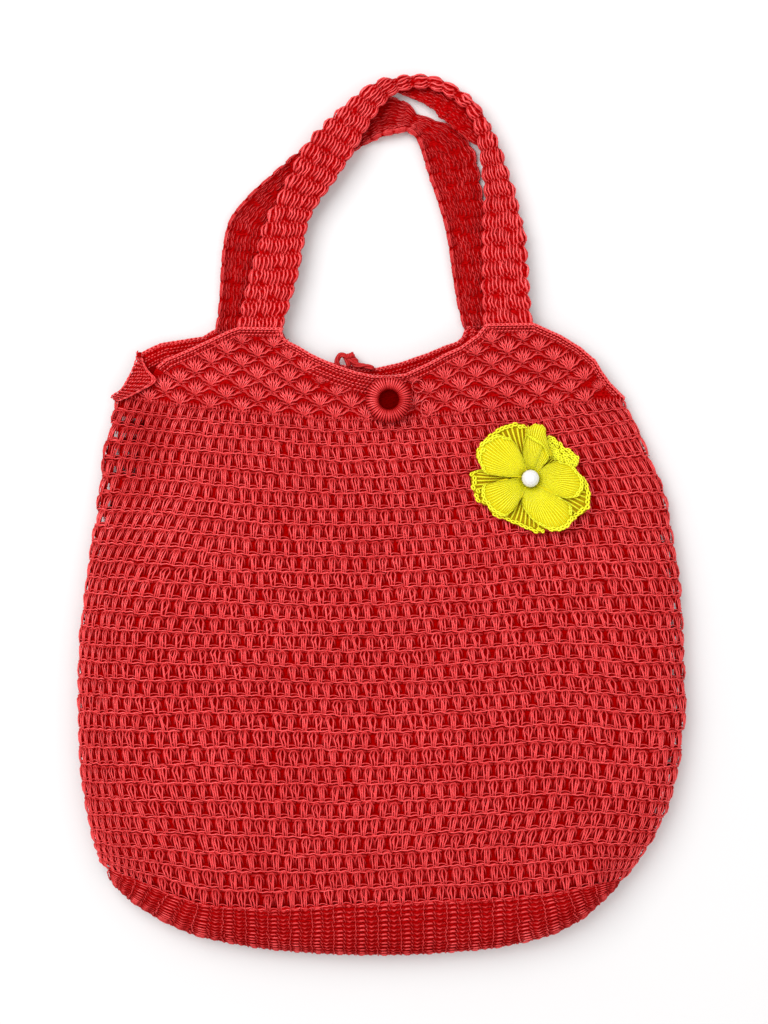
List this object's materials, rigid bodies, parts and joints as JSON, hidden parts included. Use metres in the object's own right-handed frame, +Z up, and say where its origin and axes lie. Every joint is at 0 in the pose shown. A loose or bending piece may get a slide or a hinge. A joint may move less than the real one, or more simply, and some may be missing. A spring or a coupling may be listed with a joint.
{
  "type": "mesh handbag",
  "caption": "Red crocheted openwork tote lying on its back, with a ribbed base, shell-stitch top, strap handles, wrapped button and yellow flower.",
  "frame": {"origin": "middle of the bag's outline at the surface it lies on", "axes": "+X to the right, +Y towards the handles, +Z up out of the front"},
  "size_m": [0.3498, 0.507, 0.0342],
  "materials": {
    "red_yarn": "glossy yarn",
    "yellow_yarn": "satin yarn",
    "white_bead": "pearly"
  },
  "bodies": {
    "root": {"mesh_body": "red_yarn", "base_band": "red_yarn", "yoke_front": "red_yarn", "yoke_back": "red_yarn", "side_flap": "red_yarn", "handle_front": "red_yarn", "handle_back": "red_yarn", "button": "red_yarn", "button_loop": "red_yarn", "flower_back": "yellow_yarn", "flower_front": "yellow_yarn", "bead": "white_bead"}
  },
  "joints": []
}
